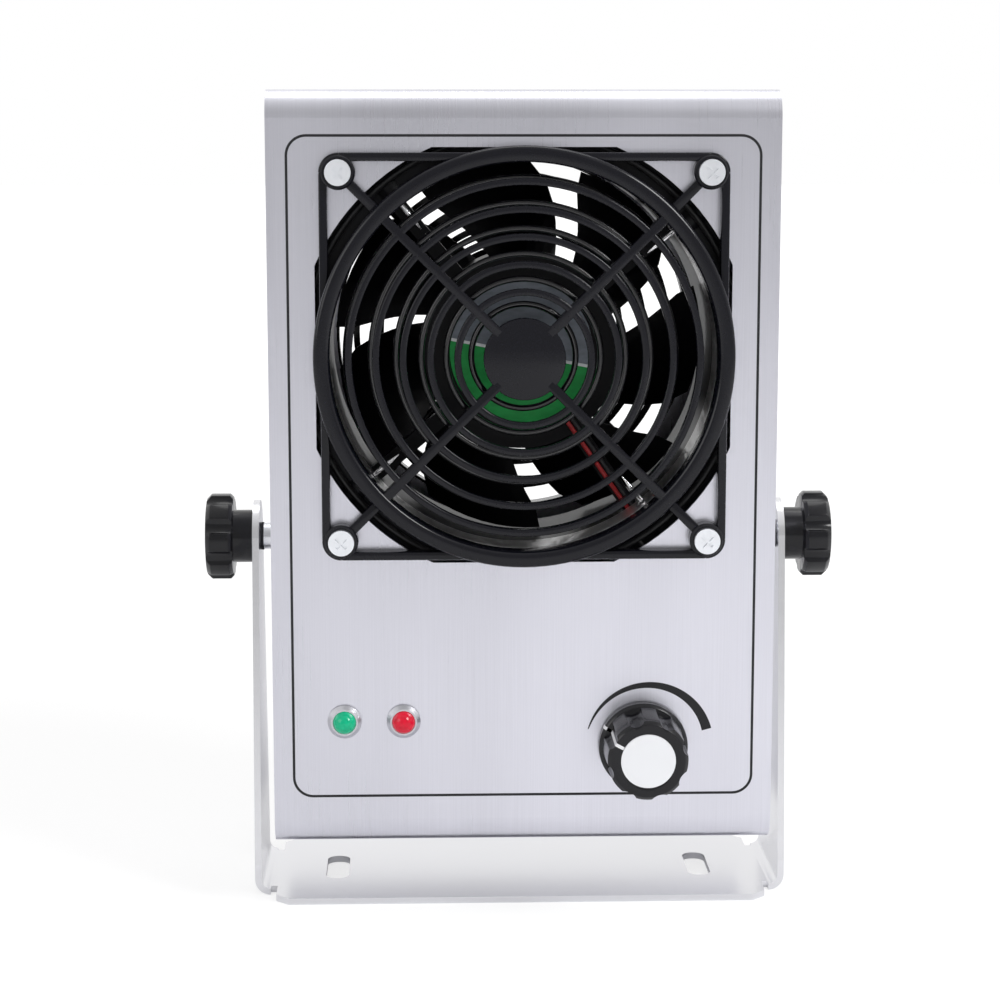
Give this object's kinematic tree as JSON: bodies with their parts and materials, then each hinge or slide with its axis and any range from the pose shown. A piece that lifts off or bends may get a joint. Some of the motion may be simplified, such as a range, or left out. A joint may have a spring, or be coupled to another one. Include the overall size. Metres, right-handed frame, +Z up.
{
  "type": "ionizing blower",
  "caption": "Bench-top ionizing blower: folded stainless housing with an axial fan, finger guards and emitter needles, tilting in a U bracket on lock knobs.",
  "frame": {"origin": "on the bench, under the tilt axis, at the middle of the bracket base", "axes": "X to the right seen from the front, -Y to the front where the air leaves, Z up"},
  "size_m": [0.1892, 0.1095, 0.241],
  "materials": {
    "bracket_steel": "satin stainless sheet with fine brushing",
    "housing_steel": "vertically brushed stainless sheet",
    "zinc": "bright zinc plate",
    "washer_rubber": "matt black rubber",
    "knob_black": "smooth black moulding",
    "guard_black": "satin black moulding",
    "screw_white": "white-bright zinc plate",
    "wire_black": "gloss black coated wire",
    "brass": "plain brass",
    "carrier_black": "matt black insulating plastic",
    "needle_steel": "ground and polished steel",
    "polished_steel": "polished stainless",
    "lead_white": "pale silicone insulation",
    "fan_black": "matt black glass-filled moulding",
    "label": "printed foil label, two plain fields",
    "copper": "laminated core with enamelled winding",
    "lead_red": "PVC insulation, one red and one black",
    "magnet": "bonded ferrite",
    "potting": "black potted case",
    "board_green": "green solder mask",
    "board_parts": "moulded component cases",
    "cap_silver": "turned silver disc",
    "bezel_chrome": "bright plated bezel",
    "lens_green": "clear green lens",
    "lens_red": "clear red lens",
    "switch_black": "black moulding"
  },
  "bodies": {
    "bracket": {"bracket": "bracket_steel"},
    "housing": {"front_shell": "housing_steel", "rear_shell": "housing_steel", "cover_screws": "zinc", "pivot_nuts": "zinc", "friction_washers": "washer_rubber", "front_guard": "guard_black", "front_guard_screws": "screw_white", "inner_guard": "wire_black", "standoffs": "brass", "emitter_ring": "carrier_black", "emitter_needles": "needle_steel", "ground_ring": "polished_steel", "hv_lead": "lead_white", "fan_frame": "fan_black", "fan_label": "label", "fan_bearings": "needle_steel", "fan_stator": "copper", "fan_screws": "zinc", "fan_leads": "lead_red", "rear_guard": "guard_black", "rear_guard_screws": "screw_white", "rear_guard_nuts": "zinc", "hv_module": "potting", "hv_module_screws": "zinc", "control_board": "board_green", "board_parts": "board_parts", "board_spacers": "brass", "potentiometer": "zinc", "pot_nut": "zinc", "led_bezels": "bezel_chrome", "led_nuts": "zinc", "power_led": "lens_green", "alarm_led": "lens_red", "rocker_housing": "switch_black", "power_inlet": "switch_black", "inlet_pins": "brass", "inlet_screws": "zinc", "fuse_holder": "switch_black", "fuse_cap": "switch_black"},
    "tilt_knob_left": {"tilt_knob_left": "knob_black", "tilt_stud_left": "zinc"},
    "tilt_knob_right": {"tilt_knob_right": "knob_black", "tilt_stud_right": "zinc"},
    "impeller": {"impeller": "fan_black", "rotor_magnet": "magnet", "fan_shaft": "needle_steel"},
    "speed_knob": {"speed_knob": "knob_black", "speed_knob_cap": "cap_silver", "pot_shaft": "needle_steel"},
    "rocker": {"rocker": "switch_black"}
  },
  "joints": [
    {"name": "tilt", "type": "hinge", "parent": "bracket", "child": "housing", "pos_m": [0, 0, 0.107], "axis": [1, 0, 0], "range_deg": [-110, 110]},
    {"name": "left_lock", "type": "hinge", "parent": "housing", "child": "tilt_knob_left", "pos_m": [-0.0805, 0, 0.107], "axis": [-1, 0, 0], "range_deg": [0, 540]},
    {"name": "right_lock", "type": "hinge", "parent": "housing", "child": "tilt_knob_right", "pos_m": [0.0805, 0, 0.107], "axis": [1, 0, 0], "range_deg": [0, 540]},
    {"name": "fan_spin", "type": "hinge", "parent": "housing", "child": "impeller", "pos_m": [0, 0, 0.1654], "axis": [0, 1, 0], "continuous": true},
    {"name": "speed_turn", "type": "hinge", "parent": "housing", "child": "speed_knob", "pos_m": [0.035, -0.0415, 0.0513], "axis": [0, 1, 0], "range_deg": [-90, 210]},
    {"name": "rocker_press", "type": "hinge", "parent": "housing", "child": "rocker", "pos_m": [0.014, 0.039, 0.0515], "axis": [-1, 0, 0], "range_deg": [0, 20]}
  ]
}
